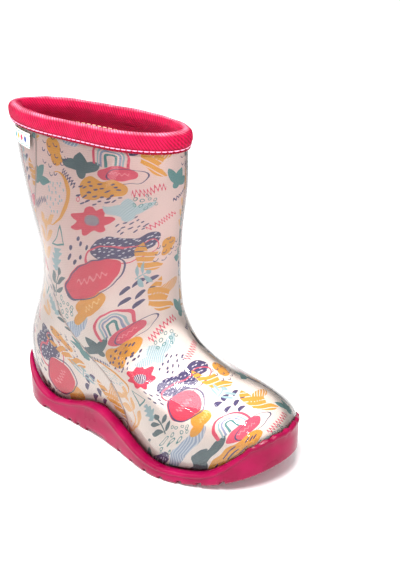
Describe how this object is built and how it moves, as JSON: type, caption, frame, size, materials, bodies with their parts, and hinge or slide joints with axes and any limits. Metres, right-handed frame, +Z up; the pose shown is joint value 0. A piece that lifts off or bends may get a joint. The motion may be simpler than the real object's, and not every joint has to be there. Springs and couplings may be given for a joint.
{
  "type": "rain boot",
  "caption": "Child's pull-on rain boot for the right foot: clear glossy shell over a printed sock, lugged sole, fleece lining and bound collar.",
  "frame": {"origin": "on the ground, under the centre of the boot's bounding box", "axes": "+Z up, toe towards -Y, outer side of the foot towards -X, inner side towards +X"},
  "size_m": [0.0828, 0.2016, 0.2075],
  "materials": {
    "outsole": "semi-gloss magenta moulded PVC",
    "clear_shell": "clear glossy soft PVC",
    "printed_textile": "fine knit, pale pink with a printed pattern",
    "thread": "pale pink sewing thread",
    "strobel_board": "matt pressed fibre board",
    "counter_board": "matt fibre board",
    "fleece": "short-pile pink fleece",
    "footbed_foam": "matt foam",
    "footbed_cover": "brushed textile",
    "binding": "fuchsia twill",
    "label": "white woven tape with small plain coloured blocks"
  },
  "bodies": {
    "root": {"outsole": "outsole", "upper_shell": "clear_shell", "sock_front_panel": "printed_textile", "sock_back_panel": "printed_textile", "seam_lateral": "thread", "seam_medial": "thread", "sock_sole": "strobel_board", "strobel_stitch": "thread", "heel_counter": "counter_board", "fleece_lining": "fleece", "footbed_foam": "footbed_foam", "footbed_cover": "footbed_cover", "collar_binding": "binding", "binding_stitch_outer": "thread", "binding_stitch_inner": "thread", "side_label": "label"}
  },
  "joints": []
}
